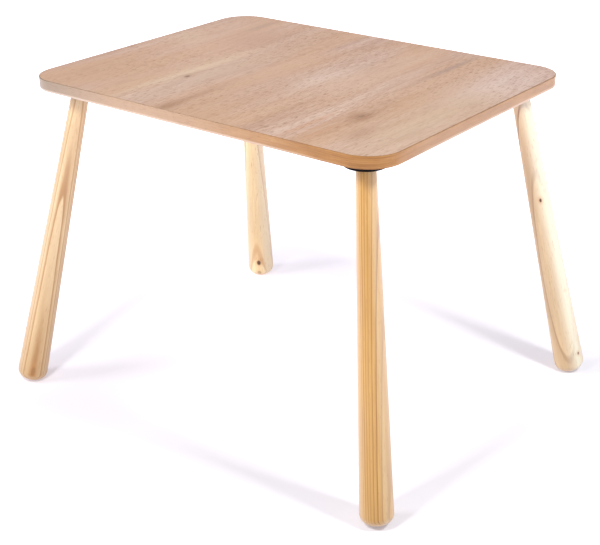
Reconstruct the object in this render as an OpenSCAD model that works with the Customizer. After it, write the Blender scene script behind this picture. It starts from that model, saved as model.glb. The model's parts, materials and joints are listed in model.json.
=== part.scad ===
// Child's table: a rounded laminated board on four splayed, turned wooden legs.
// Each leg screws into an angled mount under a corner of the board.
// Millimetres, +Z up, +X along the long side; the origin is on the floor
// under the middle of the board.

/* [Board] */
// Length of the table top
board_l = 670; // [560:5:900]
// Width of the table top
board_w = 525; // [460:5:700]
// Thickness of the table top with its laminates
board_t = 18; // [16:1:25]
// Radius of the corners, seen from above
corner_r = 53; // [30:1:80]
// Thickness of each laminate
laminate_t = 0.5; // [0.3:0.1:1]
// Thickness of the edge band
band_t = 1.5; // [1:0.5:2]

/* [Legs] */
// Height of the table
table_h = 538; // [380:1:680]
// Diameter of a leg at its upper end
leg_top_d = 28.5; // [26:0.5:29]
// Diameter of a leg at its foot
foot_d = 50; // [36:1:60]
// Radius of the round-over at the foot
foot_round = 15; // [5:1:17]
// Bevel at the upper end
leg_bevel = 1; // [0.5:0.5:2]

/* [Placing of the mounts] */
// From the end and the long side to the front left mount
inset_front_left = [63, 61]; // [45:0.5:90]
// From the end and the long side to the front right mount
inset_front_right = [58.5, 56]; // [45:0.5:90]
// From the end and the long side to the rear right mount
inset_rear_right = [58, 53]; // [45:0.5:90]
// From the end and the long side to the rear left mount
inset_rear_left = [71, 70]; // [45:0.5:90]
// Turn of each mount from its corner's diagonal, in degrees, in the same order
mount_turn = [0, 3, -1, -14]; // [-18:1:18]
// Lean of each leg away from upright, in degrees, in the same order
lean = [14, 11.5, 14, 12]; // [8:0.5:15]

/* [Mounts] */
// Diameter of the round mount
mount_d = 62; // [60:1:66]
// Depth of the mount below the board
mount_h = 13.5; // [13:0.5:16]
// Distance from the board to the seat of the leg, along the leg
seat_s = 11; // [11:0.1:11.5]
// Gap all round the leg in its socket
socket_gap = 0.6; // [0.4:0.1:1]

/* [Fasteners] */
// Diameter of the hanger bolt's stud
stud_d = 7.9; // [7.9:0.1:7.9]
// Length of the hanger bolt
stud_l = 50; // [40:1:60]
// Outer diameter of the threaded bush in the mount
bush_d = 12; // [10:0.5:12]
// Length of the threaded bush
bush_l = 9; // [8:0.5:9]
// Play of the stud in its bore, on the radius
play = 0.05; // [0.02:0.01:0.1]
// Spacing of the mount's screws, both ways
screw_pitch = 34; // [32:1:35]
// Diameter of the screws
screw_d = 4; // [3.5:0.5:4]
// Length of the screws under the head
screw_l = 18; // [14:1:18]
// Diameter of the screw heads
head_d = 7.6; // [7:0.2:8]
// Thickness of the screw heads
head_t = 2.6; // [2:0.2:3]

/* [Hidden] */
$fn = 64;
eps = 0.01;
arc_steps = 10;

CORNERS = ["front_left", "front_right", "rear_right", "rear_left"];
SIDE_X = [-1, 1, 1, -1];
SIDE_Y = [-1, -1, 1, 1];
INSETS = [inset_front_left, inset_front_right, inset_rear_right, inset_rear_left];

// Heights of the board's faces
top_z = table_h;
under_z = top_z - board_t;

// Length of leg i, so that the round-over at its foot touches the floor
foot_flat_r = foot_d / 2 - foot_round;
function leg_l(i) =
    (under_z - foot_round - foot_flat_r * sin(lean[i])) / cos(lean[i]) + foot_round - seat_s;

function mount_x(i) = SIDE_X[i] * (board_l / 2 - INSETS[i][0]);
function mount_y(i) = SIDE_Y[i] * (board_w / 2 - INSETS[i][1]);
function splay_angle(i) = atan2(SIDE_Y[i], SIDE_X[i]) + mount_turn[i];

// The floor of a screw's counterbore, measured down from the board
head_seat = 6.5;
bore_r = stud_d / 2 + play;
pilot_r = screw_d / 2 + play;
clearance_r = screw_d / 2 + 0.3;
counterbore_r = head_d / 2 + 0.5;
stud_start = seat_s - bush_l;

// ---- Shared shapes and places ----

// A rectangle with round corners
module round_rect(l, w, r) {
    square([l - 2 * r, w], center = true);
    square([l, w - 2 * r], center = true);
    for (x = [-1, 1], y = [-1, 1])
        translate([x * (l / 2 - r), y * (w / 2 - r)])
            circle(r, $fn = 96);
}

// The board's outline, drawn in by the thickness given
module board_outline(inset) {
    round_rect(board_l - 2 * inset, board_w - 2 * inset, corner_r - inset);
}

// Places an upright piece at mount i, with X outward and the board's underside at 0
module at_mount(i) {
    translate([mount_x(i), mount_y(i), under_z])
        rotate([0, 0, splay_angle(i)])
            children();
}

// Places a piece along leg i, with Z down the leg from the board's underside
module along_leg(i) {
    at_mount(i)
        rotate([0, 180 - lean[i], 0])
            children();
}

// Repeats its children at the four screws of a mount
module at_screws() {
    for (x = [-1, 1], y = [-1, 1])
        translate([x * screw_pitch / 2, y * screw_pitch / 2, 0])
            children();
}

// The holes for all the screws, from a height below the board upward
module pilot_holes(z0, depth) {
    for (i = [0 : 3])
        at_mount(i)
            at_screws()
                translate([0, 0, z0])
                    cylinder(h = depth, r = pilot_r);
}

// ---- Board ----

module top_core() {
    color("tan")
        difference() {
            translate([0, 0, under_z + laminate_t])
                linear_extrude(board_t - 2 * laminate_t)
                    board_outline(band_t);
            pilot_holes(0, screw_l - head_seat + 1);
        }
}

module top_laminate() {
    color("burlywood")
        translate([0, 0, top_z - laminate_t])
            linear_extrude(laminate_t)
                board_outline(band_t);
}

module underside_laminate() {
    color("wheat")
        difference() {
            translate([0, 0, under_z])
                linear_extrude(laminate_t)
                    board_outline(band_t);
            pilot_holes(-1, laminate_t + 2);
        }
}

module edge_band() {
    color("peru")
        translate([0, 0, under_z])
            linear_extrude(board_t)
                difference() {
                    board_outline(0);
                    board_outline(band_t);
                }
}

// ---- Mount: a moulded disc with an angled seat for the leg and four counterbored screws ----

module mount(i) {
    color("black")
        difference() {
            at_mount(i)
                translate([0, 0, -mount_h])
                    cylinder(h = mount_h, d = mount_d, $fn = 96);
            along_leg(i)
                translate([0, 0, seat_s])
                    cylinder(h = 2 * mount_h, r = leg_top_d / 2 + socket_gap);
            along_leg(i)
                translate([0, 0, seat_s - bush_l])
                    cylinder(h = bush_l + eps, d = bush_d);
            at_mount(i)
                at_screws() {
                    translate([0, 0, -head_seat])
                        cylinder(h = head_seat + 1, r = clearance_r);
                    translate([0, 0, -mount_h - 1])
                        cylinder(h = mount_h - head_seat + 1, r = counterbore_r);
                }
        }
}

module bush(i) {
    color("silver")
        along_leg(i)
            translate([0, 0, seat_s - bush_l])
                difference() {
                    cylinder(h = bush_l, d = bush_d);
                    translate([0, 0, -1])
                        cylinder(h = bush_l + 2, r = bore_r);
                }
}

module screws(i) {
    color("gray")
        at_mount(i)
            at_screws() {
                translate([0, 0, -head_seat])
                    cylinder(h = screw_l, d = screw_d);
                translate([0, 0, -head_seat - head_t])
                    cylinder(h = head_t + eps, d = head_d);
            }
}

// ---- Leg: a turned taper, thick at the foot, on a hanger bolt ----

module bolt(i) {
    color("gainsboro")
        along_leg(i)
            translate([0, 0, stud_start])
                cylinder(h = stud_l, d = stud_d);
}

// Half of the leg's outline: radius against distance from its upper end
function foot_arc(length) = [
    for (k = [0 : arc_steps])
        let (a = 90 * k / arc_steps)
            [foot_flat_r + foot_round * cos(a), length - foot_round + foot_round * sin(a)]
];
function leg_outline(length) = concat(
    [[0, 0], [leg_top_d / 2 - leg_bevel, 0], [leg_top_d / 2, leg_bevel]],
    foot_arc(length),
    [[0, length]]
);

module leg(i) {
    color("navajowhite")
        along_leg(i)
            translate([0, 0, seat_s])
                difference() {
                    rotate_extrude()
                        polygon(leg_outline(leg_l(i)));
                    translate([0, 0, -1])
                        cylinder(h = stud_start + stud_l - seat_s + 2, r = bore_r);
                }
}

top_core();
top_laminate();
underside_laminate();
edge_band();
for (i = [0 : 3]) {
    mount(i);
    bush(i);
    screws(i);
    bolt(i);
    leg(i);
}
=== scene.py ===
"""Child's table: a rounded oak-decor board on four turned legs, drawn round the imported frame.

Metres, in the frame's axes: +X along the board, +Z up, the floor at 0. Every place and size
of a piece comes from the frame's nodes and joints; the constants below only add detail.
"""
import json
import math

import bmesh
import bpy
from mathutils import Matrix, Vector


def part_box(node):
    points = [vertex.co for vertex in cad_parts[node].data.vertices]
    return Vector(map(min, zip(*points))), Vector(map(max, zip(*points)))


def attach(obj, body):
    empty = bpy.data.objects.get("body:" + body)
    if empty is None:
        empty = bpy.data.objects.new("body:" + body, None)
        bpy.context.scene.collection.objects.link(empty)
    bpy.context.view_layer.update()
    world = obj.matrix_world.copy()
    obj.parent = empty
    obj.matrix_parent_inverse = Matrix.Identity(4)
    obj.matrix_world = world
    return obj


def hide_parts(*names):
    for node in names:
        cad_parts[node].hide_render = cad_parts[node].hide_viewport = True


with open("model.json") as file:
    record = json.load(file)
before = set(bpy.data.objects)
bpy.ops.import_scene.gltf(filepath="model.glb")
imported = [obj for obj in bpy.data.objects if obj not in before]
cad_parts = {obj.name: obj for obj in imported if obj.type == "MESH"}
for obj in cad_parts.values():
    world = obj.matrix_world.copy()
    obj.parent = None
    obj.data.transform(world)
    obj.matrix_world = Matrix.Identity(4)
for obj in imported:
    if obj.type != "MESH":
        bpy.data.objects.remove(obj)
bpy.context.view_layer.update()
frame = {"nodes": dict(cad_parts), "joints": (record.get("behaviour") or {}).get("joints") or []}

CORNERS = ("front_left", "front_right", "rear_right", "rear_left")
UP = Vector((0, 0, 1))
# Lengths that differ by less than this count as the same
CLOSE = 1e-5

# ---- Sizes measured on the frame ----

band_low, band_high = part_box("edge_band")
laminate_low, laminate_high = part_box("top_laminate")
BOARD_X = band_high.x
BOARD_Y = band_high.y
TOP_Z = band_high.z
UNDER_Z = band_low.z
BAND_T = band_high.x - laminate_high.x
LAMINATE_T = laminate_high.z - laminate_low.z


def straight_end(node, side_y):
    """How far along X a node's straight side runs before its corner begins to turn."""
    points = [v.co for v in frame["nodes"][node].data.vertices]
    return max(p.x for p in points if p.y > side_y - CLOSE)


CORNER_R = BOARD_X - straight_end("edge_band", BOARD_Y)


def screw_joint(corner):
    """The joint that turns the leg at a corner."""
    name = "leg_" + corner + "_screw"
    return next(j for j in frame["joints"] if j["name"] == name)


def leg_place(corner):
    """Axes of a leg: origin at the middle of its upper end, Z down the leg, X level."""
    joint = screw_joint(corner)
    down = Vector(joint["axis"]).normalized()
    across = UP.cross(down).normalized()
    rotation = Matrix((across, down.cross(across), down)).transposed()
    return Matrix.Translation(joint["pos_m"]) @ rotation.to_4x4()


def along(node, place):
    """A node's points as (distance down the axis, distance from it) pairs."""
    inverse = place.inverted()
    local = [inverse @ v.co for v in frame["nodes"][node].data.vertices]
    return [(p.z, math.hypot(p.x, p.y)) for p in local]


PLACES = {corner: leg_place(corner) for corner in CORNERS}

# ---- Camera ----

CAMERA_AZIMUTH = math.radians(37.93)
CAMERA_ELEVATION = math.radians(24.953)
CAMERA_ROLL = math.radians(-0.498)
CAMERA_AIM = Vector((0.4573, -0.5822, TOP_Z))
CAMERA_DISTANCE = 1.24556
LENS_MM = 73.46
SENSOR_MM = 36


def camera_back():
    """Direction from the table towards the camera."""
    az, el = CAMERA_AZIMUTH, CAMERA_ELEVATION
    return Vector((math.sin(az) * math.cos(el), -math.cos(az) * math.cos(el), math.sin(el)))


def make_camera():
    back = camera_back()
    right = Vector((math.cos(CAMERA_AZIMUTH), math.sin(CAMERA_AZIMUTH), 0))
    axes = Matrix((right, back.cross(right), back)).transposed()
    data = bpy.data.cameras.new("camera")
    data.lens = LENS_MM
    data.sensor_width = SENSOR_MM
    camera = bpy.data.objects.new("camera", data)
    turned = axes.to_4x4() @ Matrix.Rotation(CAMERA_ROLL, 4, "Z")
    camera.matrix_world = Matrix.Translation(CAMERA_AIM + back * CAMERA_DISTANCE) @ turned
    bpy.context.scene.collection.objects.link(camera)
    bpy.context.scene.camera = camera


# ---- Meshes ----

# Faces that meet at more than this angle keep a crisp edge
SHARP_ANGLE = math.radians(35)


def new_object(name, bm):
    """Turns a bmesh into a linked object with smooth faces and crisp sharp edges."""
    bmesh.ops.recalc_face_normals(bm, faces=bm.faces)
    mesh = bpy.data.meshes.new(name)
    for face in bm.faces:
        face.smooth = True
    bm.to_mesh(mesh)
    bm.free()
    mesh.set_sharp_from_angle(angle=SHARP_ANGLE)
    obj = bpy.data.objects.new(name, mesh)
    bpy.context.scene.collection.objects.link(obj)
    return obj


def join_rings(bm, rings, closed=False):
    """Quads between neighbouring rings of vertices, and from the last to the first if closed."""
    pairs = list(zip(rings, rings[1:]))
    if closed:
        pairs.append((rings[-1], rings[0]))
    for low, high in pairs:
        for k in range(len(low)):
            n = (k + 1) % len(low)
            bm.faces.new((low[k], low[n], high[n], high[k]))


def arc(centre, radius, start, end, steps):
    """Points (a, b) on a round stretch, from one angle to another in degrees."""
    points = []
    for k in range(steps + 1):
        angle = math.radians(start + (end - start) * k / steps)
        points.append((centre[0] + radius * math.cos(angle), centre[1] + radius * math.sin(angle)))
    return points


def round_outline(half_x, half_y, radius, steps=24):
    """Points (x, y) round a rectangle with round corners."""
    points = []
    for sx, sy, start in ((1, 1, 0), (-1, 1, 90), (-1, -1, 180), (1, -1, 270)):
        centre = (sx * (half_x - radius), sy * (half_y - radius))
        points += arc(centre, radius, start, start + 90, steps)
    return points


def outline_loft(bm, half_x, half_y, radius, profile, closed):
    """Sweeps (inset, z) points round an outline with round corners."""
    rings = []
    for inset, z in profile:
        outline = round_outline(half_x - inset, half_y - inset, radius - inset)
        rings.append([bm.verts.new((x, y, z)) for x, y in outline])
    join_rings(bm, rings, closed)
    if not closed:
        bm.faces.new(rings[0])
        bm.faces.new(rings[-1])


def lathe(bm, profile, segments, closed=False, ripples=0):
    """Turns (z, radius) points round Z. A radius of 0 makes a pole.

    A third number in a point is the depth of the flutes cut there, if there are any.
    """
    rings = []
    for z, radius, *ripple in profile:
        if radius == 0:
            rings.append([bm.verts.new((0, 0, z))])
            continue
        ring = []
        for k in range(segments):
            angle = 2 * math.pi * k / segments
            r = radius - sum(ripple) * (0.5 - 0.5 * math.cos(ripples * angle))
            ring.append(bm.verts.new((r * math.cos(angle), r * math.sin(angle), z)))
        rings.append(ring)
    if closed:
        rings.append(rings[0])
    for low, high in zip(rings, rings[1:]):
        for k in range(segments):
            n = (k + 1) % segments
            if len(low) == 1:
                bm.faces.new((low[0], high[n], high[k]))
            elif len(high) == 1:
                bm.faces.new((low[k], low[n], high[0]))
            else:
                bm.faces.new((low[k], low[n], high[n], high[k]))


# Thread: steps in a turn, half widths of its foot and its crest as shares of the pitch, and how
# deep the foot lies, as a share of the core it stands on
THREAD_STEPS = 20
THREAD_FOOT = 0.42
THREAD_CREST = 0.08
THREAD_SUNK = 0.97


def thread_ridge(bm, root, crest, pitch, start, length):
    """A raised screw thread round Z: a wedge-shaped strip that tapers away at both ends."""
    steps = THREAD_STEPS
    count = int(length / pitch * steps)
    taper = steps / 2
    sunk = root * THREAD_SUNK
    rings = []
    for k in range(count + 1):
        angle = 2 * math.pi * k / steps
        z = start + pitch * k / steps
        fade = min(1.0, (k + 0.5) / taper, (count - k + 0.5) / taper)
        top = root + (crest - root) * fade
        wedge = ((sunk, -THREAD_FOOT), (top, -THREAD_CREST), (top, THREAD_CREST), (sunk, THREAD_FOOT))
        ring = []
        for radius, dz in wedge:
            place = (radius * math.cos(angle), radius * math.sin(angle), z + dz * pitch)
            ring.append(bm.verts.new(place))
        rings.append(ring)
    join_rings(bm, rings)
    bm.faces.new(rings[0])
    bm.faces.new(rings[-1])


def finish_piece(obj, body, slot, material, *nodes):
    """Gives a piece its material and body, and hides the CAD nodes it stands for; slot is not used.
    """
    obj.data.materials.clear()
    obj.data.materials.append(material)
    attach(obj, body)
    if nodes:
        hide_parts(*nodes)
    return obj


def dress_node(node, material):
    """Gives a CAD node that stays as it is a procedural material."""
    mesh = frame["nodes"][node].data
    mesh.materials.clear()
    mesh.materials.append(material)


def cut(obj, cutter):
    """Takes the cutter's shape out of the object and deletes the cutter."""
    modifier = obj.modifiers.new("cut", "BOOLEAN")
    modifier.operation = "DIFFERENCE"
    modifier.solver = "EXACT"
    modifier.object = cutter
    apply_modifiers(obj)
    bpy.data.objects.remove(cutter)


def apply_modifiers(obj):
    """Puts what the modifiers make into the mesh itself."""
    graph = bpy.context.evaluated_depsgraph_get()
    mesh = bpy.data.meshes.new_from_object(obj.evaluated_get(graph))
    obj.modifiers.clear()
    obj.data = mesh


# ---- Materials ----


def srgb(red, green, blue):
    """A colour given as 0 to 255 display levels, as the linear values that shaders use."""
    return tuple(
        (v / 255 / 12.92 if v <= 10 else ((v / 255 + 0.055) / 1.055) ** 2.4)
        for v in (red, green, blue)
    ) + (1.0,)


class Shader:
    """One material's node tree. Each method adds a node and returns its output socket."""

    def __init__(self, name, place=None):
        self.material = bpy.data.materials.new(name)
        self.material.use_nodes = True
        self.tree = self.material.node_tree
        self.tree.nodes.clear()
        self.at = self.node("TexCoord").outputs["Object"]
        if place is not None:
            inverse = place.inverted()
            self.at = self.mapped(self.at, (1, 1, 1), inverse.translation, inverse.to_euler("XYZ"))

    def node(self, kind, **settings):
        made = self.tree.nodes.new("ShaderNode" + kind)
        for key, value in settings.items():
            setattr(made, key, value)
        return made

    def feed(self, socket, value):
        if isinstance(value, bpy.types.NodeSocket):
            self.tree.links.new(value, socket)
        else:
            socket.default_value = value

    def mapped(self, vector, scale, move=(0, 0, 0), turn=(0, 0, 0)):
        """The vector scaled, then turned, then moved."""
        made = self.node("Mapping")
        self.feed(made.inputs["Vector"], vector)
        made.inputs["Location"].default_value = move
        made.inputs["Rotation"].default_value = turn
        made.inputs["Scale"].default_value = scale
        return made.outputs["Vector"]

    def math(self, operation, a, b=0.0, c=0.0):
        made = self.node("Math", operation=operation)
        for socket, value in zip(made.inputs, (a, b, c)):
            self.feed(socket, value)
        return made.outputs[0]

    def add(self, *values):
        total = values[0]
        for value in values[1:]:
            total = self.math("ADD", total, value)
        return total

    def times(self, *values):
        product = values[0]
        for value in values[1:]:
            product = self.math("MULTIPLY", product, value)
        return product

    def parts(self, vector):
        made = self.node("SeparateXYZ")
        self.feed(made.inputs[0], vector)
        return made.outputs[0], made.outputs[1], made.outputs[2]

    def vector(self, x, y, z):
        made = self.node("CombineXYZ")
        for socket, value in zip(made.inputs, (x, y, z)):
            self.feed(socket, value)
        return made.outputs[0]

    def noise(self, vector, detail=2.0, roughness=0.5, swirl=0.0):
        """Noise from 0 to 1 whose patches are about one unit of the vector across."""
        made = self.node("TexNoise")
        self.feed(made.inputs["Vector"], vector)
        made.inputs["Scale"].default_value = 1.0
        made.inputs["Detail"].default_value = detail
        made.inputs["Roughness"].default_value = roughness
        made.inputs["Distortion"].default_value = swirl
        return made.outputs["Fac"]

    def stretched(self, scale, move=(0, 0, 0), **settings):
        """Noise with a given number of patches a metre along each axis."""
        return self.noise(self.mapped(self.at, scale, move), **settings)

    def fade(self, value, low, high, bottom=0.0, top=1.0):
        """Rises smoothly from bottom to top while the value goes from low to high."""
        made = self.node("MapRange", interpolation_type="SMOOTHSTEP")
        for socket, given in zip(made.inputs, (value, low, high, bottom, top)):
            self.feed(socket, given)
        return made.outputs[0]

    def ramp(self, value, *stops):
        """A colour ramp through (position, colour) stops."""
        made = self.node("ValToRGB")
        elements = made.color_ramp.elements
        while len(elements) < len(stops):
            elements.new(0.5)
        for element, (position, colour) in zip(elements, stops):
            element.position = position
            element.color = colour
        self.feed(made.inputs[0], value)
        return made.outputs["Color"]

    def mix(self, factor, a, b, blend="MIX"):
        made = self.node("Mix", data_type="RGBA", blend_type=blend)
        self.feed(made.inputs[0], factor)
        self.feed(made.inputs[6], a)
        self.feed(made.inputs[7], b)
        return made.outputs[2]

    def patch(self, x, y, centre, size, power=2.0):
        """1 at a centre in the (x, y) plane, falling smoothly to 0 at size from it."""
        dx = self.times(self.math("SUBTRACT", x, centre[0]), 1 / size[0])
        dy = self.times(self.math("SUBTRACT", y, centre[1]), 1 / size[1])
        square = self.add(self.times(dx, dx), self.times(dy, dy))
        return self.math("EXPONENT", self.times(square, -power))

    def grazing(self, low, high, top):
        """Rises from 0 to top while the surface turns edge-on to the eye."""
        facing = self.node("LayerWeight").outputs["Facing"]
        return self.fade(facing, low, high, 0.0, top)

    def bump(self, height, depth, strength=1.0):
        made = self.node("Bump")
        self.feed(made.inputs["Height"], height)
        made.inputs["Strength"].default_value = strength
        made.inputs["Distance"].default_value = depth
        return made.outputs["Normal"]

    def surface(self, colour, roughness, normal, **constants):
        """The final shader. The constants are set on its own sockets, by name."""
        shader = self.node("BsdfPrincipled")
        self.feed(shader.inputs["Base Color"], colour)
        self.feed(shader.inputs["Roughness"], roughness)
        self.feed(shader.inputs["Normal"], normal)
        for key, value in constants.items():
            shader.inputs[key.replace("_", " ")].default_value = value
        output = self.node("OutputMaterial")
        self.tree.links.new(shader.outputs[0], output.inputs["Surface"])
        return self.material


# Knots of the printed decor: x, y, half width, half length, how dark
TOP_KNOTS = (
    (-0.126, -0.115, 0.0040, 0.0060, 0.75),
    (0.209, -0.121, 0.0045, 0.0080, 0.45),
    (-0.256, -0.046, 0.0035, 0.0060, 0.25),
    (-0.062, -0.040, 0.0035, 0.0060, 0.25),
)
# Long soft marks, the first of them a pale patch of painted sheen at the back right: x, y, half
# width, half length, colour, strength
TOP_MARKS_AND_SHEEN = (
    # Painted sheen: a pale patch where the top catches a veil of light at the back right
    (0.300, 0.140, 0.060, 0.110, (236, 216, 210), 0.60),
    (-0.260, 0.100, 0.100, 0.140, (226, 190, 164), 0.40),
    (0.209, -0.125, 0.012, 0.024, (168, 120, 88), 0.45),
    (0.252, -0.180, 0.014, 0.034, (176, 130, 100), 0.45),
    (-0.042, -0.246, 0.012, 0.028, (166, 124, 90), 0.60),
    (-0.044, -0.190, 0.008, 0.075, (176, 134, 108), 0.50),
    (0.181, 0.165, 0.006, 0.080, (172, 146, 140), 0.55),
    (-0.237, 0.200, 0.007, 0.040, (176, 156, 146), 0.40),
    (-0.035, 0.185, 0.007, 0.060, (190, 156, 146), 0.45),
    (0.053, 0.005, 0.026, 0.095, (234, 210, 196), 0.45),
    (0.043, -0.020, 0.010, 0.040, (242, 222, 210), 0.35),
    (0.110, -0.020, 0.030, 0.070, (226, 196, 178), 0.50),
    (-0.142, -0.080, 0.013, 0.170, (232, 206, 178), 0.70),
    (-0.100, -0.060, 0.024, 0.180, (214, 188, 168), 0.55),
    (-0.180, 0.130, 0.050, 0.060, (206, 166, 144), 0.55),
    (-0.290, 0.070, 0.030, 0.035, (222, 196, 172), 0.55),
    (-0.250, -0.190, 0.060, 0.080, (210, 172, 144), 0.50),
    (0.172, -0.195, 0.004, 0.055, (212, 160, 124), 0.55),
    (0.190, -0.190, 0.004, 0.050, (206, 156, 122), 0.45),
    (0.206, -0.205, 0.004, 0.045, (208, 158, 126), 0.45),
    (0.020, -0.130, 0.060, 0.100, (212, 176, 152), 0.40),
    (0.300, -0.110, 0.036, 0.170, (220, 194, 166), 0.55),
)

# Colours of the oak decor
OAK_GOLDEN = srgb(214, 172, 134)
OAK_DARK = srgb(184, 143, 118)
OAK_MID = srgb(215, 183, 165)
OAK_PALE = srgb(238, 213, 198)
OAK_PORE = srgb(158, 118, 94)
OAK_KNOT = srgb(112, 84, 66)
# The whole print is multiplied by the tint, and mixed with painted shade towards the front right
OAK_TINT = (0.912, 0.858, 0.825, 1.0)
OAK_PAINTED_SHADE = (0.15, 0.10, 0.02, 1.0)


def oak_decor(name, knots, marks, seed):
    """Printed oak: strips of varied tone, growth lines, pores, knots and soft marks along Y, with
    painted sheen where the marks hold it and painted shade towards the front right.
    """
    s = Shader(name)
    x, y, _ = s.parts(s.at)
    grain_x = x
    for kx, ky, wide, long_, _ in knots:
        near = s.patch(x, y, (kx, ky), (wide * 3.2, long_ * 3.5), 1.0)
        push = s.times(s.math("SUBTRACT", x, kx), near, -0.75)
        grain_x = s.add(grain_x, push)
    sway = s.stretched((5, 2.5, 1), (seed, 0, 0), detail=2)
    grain_x = s.add(grain_x, s.times(s.math("SUBTRACT", sway, 0.5), 0.012))
    grain = s.vector(grain_x, y, 0.0)

    strips = s.noise(s.mapped(grain, (16, 1.6, 1), (seed, 3, 0)), detail=1.5)
    bands = s.noise(s.mapped(grain, (62, 3.0, 1), (seed, 7, 0)), detail=3, roughness=0.6)
    fibres = s.noise(s.mapped(grain, (300, 14, 1), (seed, 1, 0)), detail=4, roughness=0.7)
    flecks = s.noise(s.mapped(grain, (330, 48, 1), (seed, 2, 0)), detail=2, roughness=0.6)
    patchy = s.noise(s.mapped(grain, (9, 5, 1), (seed, 8, 0)), detail=1)
    tone = s.add(
        s.times(s.math("SUBTRACT", strips, 0.5), 0.45),
        s.times(s.math("SUBTRACT", bands, 0.5), 0.60),
        s.times(s.math("SUBTRACT", fibres, 0.5), 0.85),
        s.times(s.math("SUBTRACT", flecks, 0.5), s.fade(patchy, 0.35, 0.65, 0.20, 0.80)),
        0.5,
    )
    colour = s.ramp(tone, (0.18, OAK_DARK), (0.5, OAK_MID), (0.85, OAK_PALE))
    hue = s.noise(s.mapped(grain, (11, 2.4, 1), (seed + 4, 0, 0)), detail=1)
    colour = s.mix(s.fade(hue, 0.38, 0.62, 0.0, 0.55), colour, OAK_GOLDEN)

    ragged = s.add(0.55, s.times(bands, 0.55), s.times(fibres, 0.35))
    # The soft marks, and the patch of painted sheen among them
    for mx, my, wide, long_, shade, strength in marks:
        spot = s.patch(grain_x, y, (mx, my), (wide * 1.25, long_ * 1.25), 1.3)
        amount = s.math("MINIMUM", s.times(spot, ragged, strength * 1.15), 0.95)
        colour = s.mix(amount, colour, srgb(*shade))

    # Growth lines: thin dark contours of a slow field that is drawn out along the grain
    field = s.noise(s.mapped(grain, (13, 1.1, 1), (seed + 9, 0, 0)), detail=1)
    contour = s.math("FRACT", s.times(field, 16.0))
    line = s.times(s.fade(contour, 0.55, 0.93), s.fade(contour, 1.0, 0.95))
    seen = s.fade(s.noise(s.mapped(grain, (18, 2.5, 1), (0, seed, 0)), detail=1), 0.40, 0.66)
    colour = s.mix(s.times(line, seen, 0.16), colour, OAK_PORE)

    # Pores: short dashes along the grain, under a millimetre wide, denser in some places
    dashes = s.noise(s.mapped(grain, (620, 70, 1), (seed, 0, 0)), detail=1)
    density = s.noise(s.mapped(grain, (9, 3, 1), (seed, 5, 0)), detail=2)
    pores = s.times(s.fade(dashes, 0.54, 0.68), s.fade(density, 0.35, 0.65, 0.3, 1.0))
    colour = s.mix(s.times(pores, 0.65), colour, OAK_PORE)

    for kx, ky, wide, long_, dark in knots:
        halo = s.patch(x, y, (kx, ky), (wide * 2.2, long_ * 2.4), 1.2)
        core = s.patch(x, y, (kx, ky), (wide, long_), 1.0)
        uneven = s.fade(s.stretched((240, 160, 1), (kx, ky, 0), detail=2), 0.25, 0.6, 0.55, 1.0)
        colour = s.mix(s.times(halo, dark * 0.40), colour, OAK_PORE)
        colour = s.mix(s.times(s.fade(core, 0.15, 0.8), uneven, dark), colour, OAK_KNOT)

    colour = s.mix(1.0, colour, OAK_TINT, "MULTIPLY")
    # Painted shade: the print darkens towards the front right of the board
    painted_shade_ramp = s.math("SUBTRACT", x, y)
    colour = s.mix(s.fade(painted_shade_ramp, -0.45, 0.40, 0.0, 0.14), colour, OAK_PAINTED_SHADE)
    rough = s.add(0.36, s.times(fibres, 0.10), s.times(pores, 0.16))
    relief = s.add(s.times(fibres, 0.5), s.times(pores, -1.0))
    return s.surface(
        colour, rough, s.bump(relief, 0.00005, 0.5), Specular_IOR_Level=0.42, Coat_Weight=0.08,
        Coat_Roughness=0.35,
    )


# Colours of the edge band
BAND_DARK = srgb(136, 88, 34)
BAND_MID = srgb(157, 106, 46)
BAND_PALE = srgb(176, 128, 72)
BAND_PAINTED_LIGHT = srgb(176, 147, 122)
BAND_PAINTED_SHADE = srgb(132, 118, 102)
BAND_PAINTED_HIGHLIGHT = srgb(226, 204, 186)
BAND_LINE = srgb(104, 70, 44)


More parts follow.
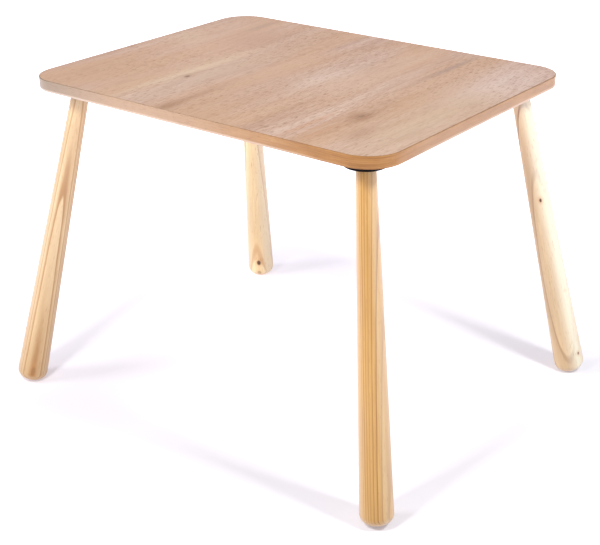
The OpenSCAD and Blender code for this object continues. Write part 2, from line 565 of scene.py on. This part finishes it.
def edge_band_material():
    """Wood-print band: level grain, a brown joint on top and a painted highlight on the lower arris.

    Painted light pales it away from the front right corner, and painted shade makes it greyer at the
    left end.
    """
    s = Shader("edge_band")
    x, y, z = s.parts(s.at)
    streaks = s.stretched((9, 9, 520), (2, 0, 0), detail=4, roughness=0.6)
    clouds = s.stretched((22, 22, 120), (5, 1, 0), detail=2)
    tone = s.add(s.times(streaks, 0.60), s.times(clouds, 0.40))
    colour = s.ramp(tone, (0.34, BAND_DARK), (0.50, BAND_MID), (0.68, BAND_PALE))
    dx = s.math("SUBTRACT", x, BOARD_X)
    dy = s.math("ADD", y, BOARD_Y)
    from_corner = s.math("SQRT", s.add(s.times(dx, dx), s.times(dy, dy)))
    right_side = s.fade(x, BOARD_X - CORNER_R, BOARD_X)
    front_side = s.math("SUBTRACT", 1.0, right_side)
    # Painted light: the band pales away from the front right corner, faster along the right side
    painted_light_mask = s.add(
        s.times(front_side, s.fade(from_corner, 0.02, 0.42, 0.0, 0.85)),
        s.times(right_side, s.fade(from_corner, 0.01, 0.12, 0.0, 0.38)),
    )
    colour = s.mix(painted_light_mask, colour, BAND_PAINTED_LIGHT)
    # Painted shade: the band turns greyer and darker towards its left end
    colour = s.mix(s.fade(x, -0.10, -0.33, 0.0, 0.80), colour, BAND_PAINTED_SHADE)
    pores = s.fade(s.stretched((120, 120, 1900), detail=0), 0.66, 0.78)
    colour = s.mix(s.times(pores, 0.35), colour, BAND_LINE)
    top_joint = s.fade(z, TOP_Z - 0.0007, TOP_Z - 0.0003)
    wear = s.stretched((60, 60, 60), (0, 4, 0), detail=2)
    colour = s.mix(s.times(top_joint, s.fade(wear, 0.2, 0.6, 0.10, 0.35)), colour, BAND_LINE)
    # Painted highlight: the rounded lower arris pales where it catches light from the floor
    painted_arris_highlight = s.fade(z, UNDER_Z + 0.0045, UNDER_Z + 0.0020)
    painted_arris_highlight = s.times(painted_arris_highlight, s.fade(from_corner, 0.04, 0.20, 0.0, 0.45))
    colour = s.mix(painted_arris_highlight, colour, BAND_PAINTED_HIGHLIGHT)
    rough = s.add(0.34, s.times(streaks, 0.14), s.times(wear, 0.06))
    normal = s.bump(s.add(streaks, s.times(pores, -0.8)), 0.00005, 0.6)
    return s.surface(colour, rough, normal, Specular_IOR_Level=0.45)


# How each leg was cut from its board. Lengths are in metres, and turns round the leg are in
# degrees to the right of the line that faces the camera:
#   face: turn of the side away from the pith
#   pith: distance of the pith from the leg's axis at the upper end
#   tilt, bow: how that distance changes with z and with z squared
#   ring: width of a growth ring
#   apex: distance down the leg at which a ring line crosses the middle of the face
#   pale, late, lines: colours of the wood and of its ring lines, and how strong these are
#   painted_streak: pale streak of painted light down one side, as (turn round the leg, half width,
#       strength)
#   painted_sheen: how strongly a painted sheen pales the edges
#   foot: how much more golden the foot is
#   knots: (turn round the leg, distance down it, half width, half length, darkness)
LEG_CUTS = {
    "front_left": {
        "face": 12, "pith": 0.040, "tilt": -0.0075, "bow": -0.0098, "ring": 0.0026, "apex": 0.18,
        "pale": (226, 200, 158), "late": (160, 106, 52), "lines": 0.80,
        "painted_streak": (-60, 0.012, 0.0), "painted_sheen": 0.10, "foot": 0.20,
        "knots": ((14, 0.499, 0.0050, 0.012, 0.25),),
    },
    "front_right": {
        "face": 58, "pith": 0.050, "tilt": 0.010, "bow": -0.020, "ring": 0.0036, "apex": 0.10,
        "pale": (206, 162, 92), "late": (146, 92, 34), "lines": 0.75,
        "painted_streak": (32, 0.0060, 0.20), "painted_sheen": 0.35, "foot": 0.0, "knots": (),
    },
    "rear_right": {
        "face": -8, "pith": 0.040, "tilt": 0.134, "bow": -0.245, "ring": 0.0140, "apex": 0.14,
        "pale": (230, 202, 158), "late": (140, 84, 40), "lines": 0.75,
        "painted_streak": (30, 0.0140, 0.80), "painted_sheen": 0.10, "foot": 0.0,
        "knots": ((-8, 0.187, 0.0026, 0.0046, 0.95), (34, 0.487, 0.0024, 0.0036, 0.9)),
    },
    "rear_left": {
        "face": -13, "pith": 0.025, "tilt": -0.0213, "bow": 0.060, "ring": 0.0120, "apex": 0.0,
        "pale": (255, 234, 184), "late": (186, 120, 56), "lines": 0.85,
        "painted_streak": (40, 0.010, 0.40), "painted_sheen": 0.35, "foot": 0.0,
        "knots": ((-8, 0.481, 0.0054, 0.0078, 0.95), (-8, 0.506, 0.0050, 0.0060, 0.40)),
    },
}

# Width of the dark line that ends a growth ring, and how far a knot pushes the rings aside
LATE_WIDTH = 0.0011
KNOT_PUSH = 0.0008
# Where in a ring's width its dark line peaks, and a ring number that keeps all the counts positive
LATE_PEAK = 0.94
RING_START = 50

# Colours shared by the legs
LEG_PAINTED_STREAK = srgb(243, 239, 215)
LEG_GOLDEN = srgb(206, 150, 80)
LEG_FLECK = srgb(168, 116, 74)
LEG_PAINTED_SHEEN = srgb(232, 212, 190)
KNOT_HALO = srgb(202, 138, 76)
KNOT_CORE = srgb(82, 40, 16)

# Radius of a leg at its upper end, and how much it grows per metre
leg_points = along("leg_front_left", PLACES["front_left"])
LEG_LENGTH = max(z for z, r in leg_points)
LEG_R_TOP = max(r for z, r in leg_points if z < 0.002)
LEG_TAPER = (max(r for z, r in leg_points) - LEG_R_TOP) / LEG_LENGTH


def view_turn(place):
    """Direction round a leg, in degrees, that faces the camera's side of the table."""
    local = place.to_3x3().inverted() @ camera_back()
    return math.degrees(math.atan2(local.y, local.x))


def leg_wood(corner, seed):
    """Solid turned wood: growth rings round an off-centre pith, fibres, flecks and knots."""
    cut_from = LEG_CUTS[corner]
    place = PLACES[corner]
    s = Shader("leg_wood_" + corner, place)
    face = math.radians(view_turn(place) - cut_from["face"])
    at = s.mapped(s.at, (1, 1, 1), (0, 0, 0), (0, 0, -face))
    u, v, z = s.parts(at)
    seen_from = s.mapped(s.at, (1, 1, 1), (0, 0, 0), (0, 0, -math.radians(view_turn(place))))
    _, across_view, _ = s.parts(seen_from)

    pith = s.add(
        cut_from["pith"], s.times(z, cut_from["tilt"]), s.times(z, z, cut_from["bow"])
    )
    du = s.add(u, pith)
    distance = s.math("SQRT", s.add(s.times(du, du), s.times(v, v)))
    sway = s.math("SUBTRACT", s.stretched((32, 32, 5), (seed, 0, 0), detail=2), 0.5)
    flutter = s.math("SUBTRACT", s.stretched((260, 260, 30), (seed, 0, 0), detail=2), 0.5)
    distance = s.add(distance, s.times(sway, 0.0014), s.times(flutter, 0.0003))

    knot_marks = []
    for turn, down, wide, long_, dark in cut_from["knots"]:
        angle = -math.radians(turn)
        radius = LEG_R_TOP + LEG_TAPER * down
        centre = (radius * math.cos(angle), radius * math.sin(angle), down)
        offset = s.mapped(seen_from, (1, 1, 1), tuple(-c for c in centre))
        ox, oy, oz = s.parts(offset)
        across = s.times(s.add(s.times(ox, ox), s.times(oy, oy)), 1 / wide ** 2)
        down_it = s.times(oz, oz, 1 / long_ ** 2)
        reach = s.add(across, down_it)
        near = s.math("EXPONENT", s.times(reach, -0.16))
        distance = s.add(distance, s.times(near, -KNOT_PUSH * dark))
        knot_marks.append((reach, dark))

    apex = cut_from["apex"]
    apex_distance = LEG_R_TOP + LEG_TAPER * apex + cut_from["pith"] + cut_from["tilt"] * apex
    apex_distance += cut_from["bow"] * apex ** 2
    ring_count = s.times(s.math("SUBTRACT", distance, apex_distance), 1 / cut_from["ring"])
    ring_count = s.add(ring_count, RING_START + LATE_PEAK)
    phase = s.math("FRACT", ring_count)
    ring_id = s.math("FLOOR", ring_count)
    fate = s.node("TexWhiteNoise", noise_dimensions="1D")
    s.feed(fate.inputs["W"], s.add(ring_id, seed))
    strength = s.fade(fate.outputs["Value"], 0.0, 1.0, 0.35, 1.0)
    thin = min(0.6, LATE_WIDTH / cut_from["ring"])
    rise, fall = s.fade(phase, LATE_PEAK - thin, 0.93), s.fade(phase, 1.0, 0.95)
    late = s.times(rise, fall, strength)
    early = s.times(s.fade(phase, 0.0, 0.9), 0.25)

    fibres = s.stretched((900, 900, 18), (0, 0, seed), detail=3, roughness=0.65)
    bands = s.stretched((190, 190, 5), (0, 0, seed), detail=2)
    clouds = s.stretched((30, 30, 7), (0, 0, seed + 2), detail=2)
    pale = srgb(*cut_from["pale"])
    line = srgb(*cut_from["late"])
    warm = tuple(a * 0.6 + b * 0.4 for a, b in zip(pale, line))
    colour = s.mix(s.fade(clouds, 0.30, 0.72, 0.0, 0.55), pale, warm)
    colour = s.mix(s.times(s.fade(bands, 0.35, 0.75), 0.40), colour, warm)
    colour = s.mix(s.fade(fibres, 0.35, 0.75, 0.0, 0.60), colour, warm)
    colour = s.mix(s.add(early, s.times(late, cut_from["lines"])), colour, line)

    golden = s.fade(z, 0.20, 0.50, 0.0, cut_from["foot"])
    colour = s.mix(golden, colour, LEG_GOLDEN)
    # Painted light: a pale streak down one side of the leg, placed across the view
    turn, wide, amount = cut_from["painted_streak"]
    middle = s.times(s.add(LEG_R_TOP, s.times(z, LEG_TAPER)), -math.sin(math.radians(turn)))
    off = s.times(s.math("SUBTRACT", across_view, middle), 1 / wide)
    painted_streak_mask = s.math("EXPONENT", s.times(off, off, -1.0))
    painted_streak_mask = s.times(painted_streak_mask, s.fade(bands, 0.2, 0.6, 0.7, 1.0))
    colour = s.mix(s.times(painted_streak_mask, amount), colour, LEG_PAINTED_STREAK)
    flecks = s.fade(s.stretched((900, 900, 90), (seed, 3, 0), detail=0), 0.69, 0.80)
    colour = s.mix(s.times(flecks, 0.35), colour, LEG_FLECK)
    for reach, dark in knot_marks:
        halo = s.math("EXPONENT", s.times(reach, -0.50))
        core = s.fade(s.math("EXPONENT", s.times(reach, -1.4)), 0.25, 0.75)
        colour = s.mix(s.times(halo, 0.35 + dark * 0.30), colour, KNOT_HALO)
        colour = s.mix(s.times(core, dark), colour, KNOT_CORE)

    # Painted sheen pales the colour where the round leg turns away from the eye
    colour = s.mix(s.grazing(0.12, 0.75, cut_from["painted_sheen"]), colour, LEG_PAINTED_SHEEN)
    rough = s.add(0.34, s.times(fibres, 0.12), s.times(late, -0.04), s.times(flecks, 0.1))
    relief = s.add(s.times(fibres, 0.6), s.times(flecks, -0.8), s.times(late, 0.3))
    return s.surface(
        colour, rough, s.bump(relief, 0.00006, 0.55), Specular_IOR_Level=0.45, Coat_Weight=0.15,
        Coat_Roughness=0.3,
    )


def black_plastic():
    """Moulded black plastic: fine spark texture, faint flow marks and slightly worn edges."""
    s = Shader("black_plastic")
    grit = s.stretched((2600, 2600, 2600), detail=2)
    flow = s.stretched((45, 45, 20), detail=3)
    colour = s.ramp(flow, (0.35, (0.004, 0.004, 0.004, 1)), (0.7, (0.008, 0.008, 0.009, 1)))
    edges = s.fade(s.node("NewGeometry").outputs["Pointiness"], 0.52, 0.60)
    colour = s.mix(s.times(edges, 0.25), colour, (0.03, 0.03, 0.032, 1))
    rough = s.add(0.50, s.times(grit, 0.16), s.times(flow, 0.10))
    return s.surface(colour, rough, s.bump(grit, 0.00006, 0.7), Specular_IOR_Level=0.06)


def zinc_steel():
    """Bright zinc plate: a slightly blue, blotchy metal with fine drawing lines."""
    s = Shader("zinc_steel")
    blotch = s.stretched((170, 170, 170), detail=3)
    lines = s.stretched((1200, 1200, 60), detail=2)
    dull, bright, yellowed = (0.52, 0.53, 0.55, 1), (0.70, 0.70, 0.71, 1), (0.78, 0.76, 0.70, 1)
    colour = s.ramp(blotch, (0.3, dull), (0.55, bright), (0.8, yellowed))
    rough = s.add(0.20, s.times(blotch, 0.18), s.times(lines, 0.10))
    return s.surface(colour, rough, s.bump(lines, 0.00002, 0.4), Metallic=1.0)


def chipboard():
    """Pressed wood chips: small angular flakes of varied tan, with darker bark and glue."""
    s = Shader("chipboard")
    warped = s.mapped(s.at, (260, 260, 700))
    cells = s.node("TexVoronoi", feature="F1")
    s.feed(cells.inputs["Vector"], warped)
    cells.inputs["Scale"].default_value = 1.0
    tint, _, _ = s.parts(cells.outputs["Color"])
    colour = s.ramp(
        tint, (0.0, srgb(150, 108, 70)), (0.35, srgb(196, 156, 108)), (1.0, srgb(226, 194, 148))
    )
    dust = s.stretched((1800, 1800, 1800), detail=2)
    colour = s.mix(s.times(dust, 0.25), colour, srgb(170, 130, 90))
    relief = s.add(s.times(tint, 0.6), s.times(dust, 0.4))
    return s.surface(colour, s.add(0.72, s.times(dust, 0.2)), s.bump(relief, 0.0002, 0.8))


def floor_paper():
    """White studio paper with a faint tooth, lit up by its own glow away from the table."""
    s = Shader("studio_paper")
    x, y, _ = s.parts(s.at)
    tooth = s.stretched((900, 900, 900), detail=2)
    colour = s.ramp(tooth, (0.3, (0.59, 0.585, 0.615, 1)), (0.7, (0.61, 0.605, 0.635, 1)))
    radius = s.math("SQRT", s.add(s.times(x, x), s.times(y, y)))
    depth = s.add(s.times(y, AWAY[1]), s.times(x, AWAY[0]))
    behind = s.fade(depth, -0.15, 0.30, GLOW_FRONT, GLOW_BEHIND)
    glow = s.add(behind, s.fade(radius, 0.25, 1.5, 0.0, GLOW_FAR))
    material = s.surface(colour, s.add(0.85, s.times(tooth, 0.1)), s.bump(tooth, 0.00005, 0.3))
    shader = next(n for n in s.tree.nodes if n.type == "BSDF_PRINCIPLED")
    shader.inputs["Emission Color"].default_value = GLOW_COLOUR
    s.feed(shader.inputs["Emission Strength"], glow)
    return material


# ---- Board ----

# Radius of the softened arrises of the edge band
ARRIS_R = 0.0009
ARRIS_STEPS = 5


def make_edge_band(material):
    """A strip swept round the board, with softened outer arrises."""
    high = arc((ARRIS_R, -ARRIS_R), ARRIS_R, 180, 90, ARRIS_STEPS)
    low = arc((ARRIS_R, ARRIS_R), ARRIS_R, 270, 180, ARRIS_STEPS)
    profile = [(BAND_T, UNDER_Z)]
    profile += [(inset, UNDER_Z + z) for inset, z in low]
    profile += [(inset, TOP_Z + z) for inset, z in high]
    profile += [(BAND_T, TOP_Z)]
    bm = bmesh.new()
    outline_loft(bm, BOARD_X, BOARD_Y, CORNER_R, profile, closed=True)
    band = new_object("edge_band_strip", bm)
    finish_piece(band, "root", "edge_band", material, "edge_band")


def make_top_sheet(material):
    """The decor sheet, flush with the top of the band."""
    bm = bmesh.new()
    profile = [(BAND_T, TOP_Z - LAMINATE_T), (BAND_T, TOP_Z)]
    outline_loft(bm, BOARD_X, BOARD_Y, CORNER_R, profile, closed=False)
    sheet = new_object("top_decor_sheet", bm)
    finish_piece(sheet, "root", "oak_decor", material, "top_laminate")


# ---- Legs ----

LEG_SEGMENTS = 96
LEG_RINGS = 26
FOOT_STEPS = 14
# Bevels at a leg's upper end and at the mouth of its bore
LEG_BEVEL = 0.001
MOUTH_BEVEL = 0.0006


def leg_profile(corner):
    """(z, radius) points of a leg, from the bottom of its bore, over its end, to its foot."""
    place = PLACES[corner]
    points = along("leg_" + corner, place)
    length = max(z for z, r in points)
    top_r = max(r for z, r in points if z < 2 * LEG_BEVEL)
    foot_r = max(r for z, r in points)
    bore_r = min(r for z, r in points if z < LEG_BEVEL / 2 and r > LEG_BEVEL)
    flat_r = max(r for z, r in points if z > length - CLOSE)
    bore_depth = max(z for z, r in points if r < bore_r + CLOSE and z < length / 2)
    foot_round = foot_r - flat_r
    taper_end = length - foot_round

    profile = [(bore_depth, 0), (bore_depth, bore_r), (MOUTH_BEVEL, bore_r)]
    profile += [(0, bore_r + MOUTH_BEVEL)]
    profile += arc((LEG_BEVEL, top_r - LEG_BEVEL), LEG_BEVEL, 180, 90, steps=5)
    for k in range(1, LEG_RINGS):
        t = k / LEG_RINGS
        profile.append((LEG_BEVEL + (taper_end - LEG_BEVEL) * t, top_r + (foot_r - top_r) * t))
    profile += arc((taper_end, flat_r), foot_round, 90, 0, FOOT_STEPS)
    profile += [(length, 0)]
    return profile


def make_leg(corner, material):
    """A turned leg, bored at its upper end for the bolt."""
    bm = bmesh.new()
    lathe(bm, leg_profile(corner), LEG_SEGMENTS)
    bm.transform(PLACES[corner])
    leg = new_object("turned_leg_" + corner, bm)
    finish_piece(leg, "leg_" + corner, "leg_wood", material, "leg_" + corner)


# ---- Mounts and their fasteners ----

MOUNT_SEGMENTS = 128
CUTTER_SEGMENTS = 64
FASTENER_SEGMENTS = 48
# Radius of a mount's lower rim
MOUNT_ROUND = 0.0006
# How far a cutter reaches past the face that it opens
CUT_EXTRA = 0.004
# Play round a screw's head in its counterbore, and round its shank
HEAD_PLAY = 0.0005
SHANK_PLAY = 0.0003
# Gap between a thread and what lies beyond it
THREAD_GAP = 0.001


def mount_place(corner):
    """Axes of a mount: origin on the board's underside, X outward, Z up."""
    low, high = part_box("mount_" + corner)
    down = Vector(screw_joint(corner)["axis"])
    outward = Vector((down.x, down.y, 0)).normalized()
    rotation = Matrix((outward, UP.cross(outward), UP)).transposed()
    middle = (low + high) / 2
    return Matrix.Translation((middle.x, middle.y, UNDER_Z)) @ rotation.to_4x4()


def screw_sizes(corner):
    """Centre offset, shank and head radius, and the tip, seat and head heights of the screws."""
    inverse = mount_place(corner).inverted()
    local = [inverse @ v.co for v in frame["nodes"]["screws_" + corner].data.vertices]
    one = [p for p in local if p.x > 0 and p.y > 0]
    tip = max(p.z for p in one)
    head = min(p.z for p in one)
    tip_x = [p.x for p in one if p.z > tip - CLOSE]
    head_x = [p.x for p in one if p.z < head + CLOSE]
    offset = (min(tip_x) + max(tip_x)) / 2
    shank_r = (max(tip_x) - min(tip_x)) / 2
    head_r = (max(head_x) - min(head_x)) / 2
    seat = min(p.z for p in one if p.z > head + 10 * CLOSE)
    return offset, shank_r, head_r, tip, seat, head


def tube_cutter(place, low, high, radius):
    """A cylinder along a place's Z that cuts a round hole."""
    bm = bmesh.new()
    lathe(bm, [(low, 0), (low, radius), (high, radius), (high, 0)], CUTTER_SEGMENTS)
    bm.transform(place)
    return new_object("cutter", bm)


def make_mount(corner, material):
    """A moulded disc with a leaning socket, a bore for the bush and four counterbores."""
    low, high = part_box("mount_" + corner)
    radius = (high.x - low.x) / 2
    deep = high.z - low.z
    place = mount_place(corner)
    soft = MOUNT_ROUND
    profile = [(0, 0), (0, radius)]
    rim = arc((radius - soft, soft - deep), soft, 0, -90, steps=6)
    profile += [(z, r) for r, z in rim]
    profile += [(-deep, 0)]
    bm = bmesh.new()
    lathe(bm, profile, MOUNT_SEGMENTS)
    bm.transform(place)
    mount = new_object("socket_mount_" + corner, bm)

    leg = PLACES[corner]
    points = along("mount_" + corner, leg)
    seat = [r for z, r in points if abs(z) < CLOSE]
    bush_top = min(z for z, r in along("bush_" + corner, leg))
    cut(mount, tube_cutter(leg, 0, deep + 3 * CUT_EXTRA, max(seat)))
    cut(mount, tube_cutter(leg, bush_top, CUT_EXTRA, min(seat)))
    offset, shank_r, head_r, _, screw_seat, _ = screw_sizes(corner)
    for x in (-offset, offset):
        for y in (-offset, offset):
            hole = place @ Matrix.Translation((x, y, 0))
            cut(mount, tube_cutter(hole, -deep - CUT_EXTRA, screw_seat, head_r + HEAD_PLAY))
            cut(mount, tube_cutter(hole, screw_seat - CUT_EXTRA, CUT_EXTRA, shank_r + SHANK_PLAY))
    mount.data.set_sharp_from_angle(angle=SHARP_ANGLE)
    finish_piece(mount, "root", "black_plastic", material, "mount_" + corner)


# Threaded bush: depth of the groove, depth and number of the knurl's flutes, bevel at the ends
BUSH_GROOVE = 0.0006
BUSH_KNURL = 0.00035
BUSH_FLUTES = 36
BUSH_BEVEL = 0.0004


def make_bush(corner, material):
    """A zinc-plated threaded bush: two knurled bands with a groove between them."""
    place = PLACES[corner]
    points = along("bush_" + corner, place)
    low, high = min(z for z, r in points), max(z for z, r in points)
    outer, inner = max(r for z, r in points), min(r for z, r in points)
    bevel = BUSH_BEVEL
    third = (high - low) / 3
    groove_r = outer - BUSH_GROOVE
    end_r = outer - bevel - BUSH_KNURL
    profile = [(low + bevel, inner), (low, inner + bevel), (low, end_r)]
    profile += [(low + bevel, outer, BUSH_KNURL), (low + third - bevel, outer, BUSH_KNURL)]
    profile += [(low + third, groove_r), (high - third, groove_r)]
    profile += [(high - third + bevel, outer, BUSH_KNURL), (high - bevel, outer, BUSH_KNURL)]
    profile += [(high, end_r), (high, inner + bevel), (high - bevel, inner)]
    bm = bmesh.new()
    lathe(bm, profile, 6 * BUSH_FLUTES, closed=True, ripples=BUSH_FLUTES)
    bm.transform(place)
    bush = new_object("knurled_bush_" + corner, bm)
    finish_piece(bush, "root", "zinc_steel", material, "bush_" + corner)


# Screw: height of the head's rim, the cross recess (length and width at its mouth and at its
# floor, depth), the core and the thread's crest as shares of the shank, the pitch and the point
HEAD_RIM = 0.0004
RECESS_LENGTH = (0.0040, 0.0018)
RECESS_WIDTH = (0.0009, 0.0006)
RECESS_DEPTH = 0.0016
SCREW_CORE = 0.72
SCREW_CREST = 0.99
SCREW_PITCH = 0.0018
SCREW_POINT = 0.004
# Turn of the first screw, and from each screw to the next, in degrees
FIRST_TURN = 17
NEXT_TURN = 31


def cut_cross_recess(screw, head):
    """Cuts a tapered cross into the head of an upright screw."""
    for turn in (0, 90):
        slot = bmesh.new()
        bmesh.ops.create_cube(slot, size=1.0)
        for v in slot.verts:
            deep = v.co.z > 0
            v.co.x *= RECESS_LENGTH[deep]
            v.co.y *= RECESS_WIDTH[deep]
            v.co.z = head + RECESS_DEPTH if deep else head - 0.001
        slot.transform(Matrix.Rotation(math.radians(turn), 4, "Z"))
        cut(screw, new_object("slot", slot))


def make_screws(corner, material):
    """Four pan-head wood screws with a cross recess and a coarse thread."""
    offset, shank_r, head_r, tip, seat, head = screw_sizes(corner)
    core_r = shank_r * SCREW_CORE
    rim = seat - HEAD_RIM
    crown = arc((0, 0), 1.0, 180, 90, steps=8)
    profile = [(rim + up * (rim - head), out * head_r) for up, out in crown]
    profile += [(seat, head_r), (seat, core_r), (tip - SCREW_POINT, core_r), (tip, 0)]
    bm = bmesh.new()
    lathe(bm, profile, FASTENER_SEGMENTS)
    screw = new_object("screw", bm)
    cut_cross_recess(screw, head)
    bm = bmesh.new()
    bm.from_mesh(screw.data)
    crest_r = shank_r * SCREW_CREST
    thread_length = tip - seat - THREAD_GAP - SCREW_POINT
    thread_ridge(bm, core_r, crest_r, SCREW_PITCH, seat + THREAD_GAP, thread_length)
    one = bpy.data.meshes.new("screw")
    bm.to_mesh(one)
    bm.free()
    bpy.data.objects.remove(screw)

    bm = bmesh.new()
    turn = FIRST_TURN
    for x in (-offset, offset):
        for y in (-offset, offset):
            placed = one.copy()
            spun = Matrix.Rotation(math.radians(turn), 4, "Z")
            placed.transform(Matrix.Translation((x, y, 0)) @ spun)
            bm.from_mesh(placed)
            bpy.data.meshes.remove(placed)
            turn += NEXT_TURN
    bpy.data.meshes.remove(one)
    bm.transform(mount_place(corner))
    screws = new_object("pan_screws_" + corner, bm)
    finish_piece(screws, "root", "zinc_steel", material, "screws_" + corner)


# Hanger bolt: the crest as a share of its radius, the two cores as shares of the crest and of
# each other, thread pitches, the plain collar at its middle, and its two ends
BOLT_CREST = 0.995
MACHINE_CORE = 0.86
WOOD_CORE = 0.92
MACHINE_PITCH = 0.00125
WOOD_PITCH = 0.003
COLLAR_HALF = 0.002
COLLAR_END = 0.003
BOLT_BEVEL = 0.0008
BOLT_POINT = 0.005


def make_bolt(corner, material):
    """A hanger bolt: a fine machine thread for the bush, a coarse pointed one for the wood."""
    place = PLACES[corner]
    points = along("bolt_" + corner, place)
    low, high = min(z for z, r in points), max(z for z, r in points)
    crest = max(r for z, r in points) * BOLT_CREST
    core = crest * MACHINE_CORE
    wood_core = core * WOOD_CORE
    middle = (low + high) / 2
    profile = [(low, 0), (low, core - BOLT_BEVEL), (low + BOLT_BEVEL, core)]
    profile += [(middle - COLLAR_END, core), (middle - COLLAR_HALF, crest)]
    profile += [(middle + COLLAR_HALF, crest), (middle + COLLAR_END, wood_core)]
    profile += [(high - BOLT_POINT, wood_core), (high, 0)]
    bm = bmesh.new()
    lathe(bm, profile, FASTENER_SEGMENTS)
    machine_length = middle - COLLAR_END - THREAD_GAP - low
    wood_start = middle + COLLAR_END + THREAD_GAP
    wood_length = high - 2 * BOLT_POINT - middle
    thread_ridge(bm, core, crest, MACHINE_PITCH, low + THREAD_GAP, machine_length)
    thread_ridge(bm, wood_core, crest, WOOD_PITCH, wood_start, wood_length)
    bm.transform(place)
    bolt = new_object("hanger_bolt_" + corner, bm)
    finish_piece(bolt, "bolt_" + corner, "zinc_steel", material, "bolt_" + corner)


# ---- Light and floor ----

FLOOR_HALF = 14.0
# The paper's own glow: before the table, behind it, and what is added far away
GLOW_FRONT = 0.175
GLOW_BEHIND = 0.48
GLOW_FAR = 1.30
GLOW_COLOUR = (0.98, 0.94, 1.05, 1.0)
# Level direction from before the table to behind it, as (x, y)
AWAY = (-0.73, 0.68)

LIGHT_AIM = Vector((0, 0, 0.3))
LIGHT_COLOUR = (0.98, 1.0, 1.0)
WORLD_COLOUR = (0.96, 0.97, 1.03, 1.0)
WORLD_STRENGTH = 0.42


def soft_box(name, place, size, power):
    """A square lamp, aimed at the table, whose light does not weaken with distance."""
    data = bpy.data.lights.new(name, "AREA")
    data.shape = "RECTANGLE"
    data.size = data.size_y = size
    data.energy = power
    data.color = LIGHT_COLOUR
    data.use_nodes = True
    tree = data.node_tree
    falloff = tree.nodes.new("ShaderNodeLightFalloff")
    falloff.inputs["Strength"].default_value = 1.0
    emission = next(n for n in tree.nodes if n.type == "EMISSION")
    tree.links.new(falloff.outputs["Constant"], emission.inputs["Strength"])
    lamp = bpy.data.objects.new(name, data)
    turn = (Vector(place) - LIGHT_AIM).to_track_quat("Z", "Y").to_matrix().to_4x4()
    lamp.matrix_world = Matrix.Translation(place) @ turn
    lamp.visible_camera = False
    bpy.context.scene.collection.objects.link(lamp)


def make_world():
    """Soft light from all round, and a plain white backdrop for the camera alone."""
    world = bpy.data.worlds.new("studio")
    bpy.context.scene.world = world
    world.use_nodes = True
    nodes, links = world.node_tree.nodes, world.node_tree.links
    light = nodes["Background"]
    light.inputs["Color"].default_value = WORLD_COLOUR
    light.inputs["Strength"].default_value = WORLD_STRENGTH
    backdrop = nodes.new("ShaderNodeBackground")
    backdrop.inputs["Color"].default_value = (1.0, 1.0, 1.0, 1.0)
    choice = nodes.new("ShaderNodeMixShader")
    links.new(nodes.new("ShaderNodeLightPath").outputs["Is Camera Ray"], choice.inputs[0])
    links.new(light.outputs[0], choice.inputs[1])
    links.new(backdrop.outputs[0], choice.inputs[2])
    links.new(choice.outputs[0], nodes["World Output"].inputs["Surface"])


def make_studio():
    make_world()
    soft_box("key", (1.05, -0.06, 1.25), 0.18, 6.5)
    soft_box("front", (0.06, -1.00, 1.20), 0.20, 6.0)
    soft_box("left", (-1.10, -1.20, 1.20), 0.50, 3.5)
    bm = bmesh.new()
    bmesh.ops.create_grid(bm, x_segments=8, y_segments=8, size=FLOOR_HALF)
    floor = new_object("floor", bm)
    floor.data.materials.append(floor_paper())
    bpy.context.scene.view_settings.view_transform = "Standard"


# ---- The table ----


def make_table():
    oak = oak_decor("oak_decor", TOP_KNOTS, TOP_MARKS_AND_SHEEN, seed=2.0)
    plain_oak = oak_decor("underside_decor", (), (), seed=11.0)
    make_top_sheet(oak)
    make_edge_band(edge_band_material())
    dress_node("underside_laminate", plain_oak)
    dress_node("top_core", chipboard())
    plastic = black_plastic()
    steel = zinc_steel()
    for number, corner in enumerate(CORNERS):
        make_leg(corner, leg_wood(corner, seed=3.0 + 5 * number))
        make_mount(corner, plastic)
        make_bush(corner, steel)
        make_screws(corner, steel)
        make_bolt(corner, steel)


make_camera()
make_studio()
make_table()
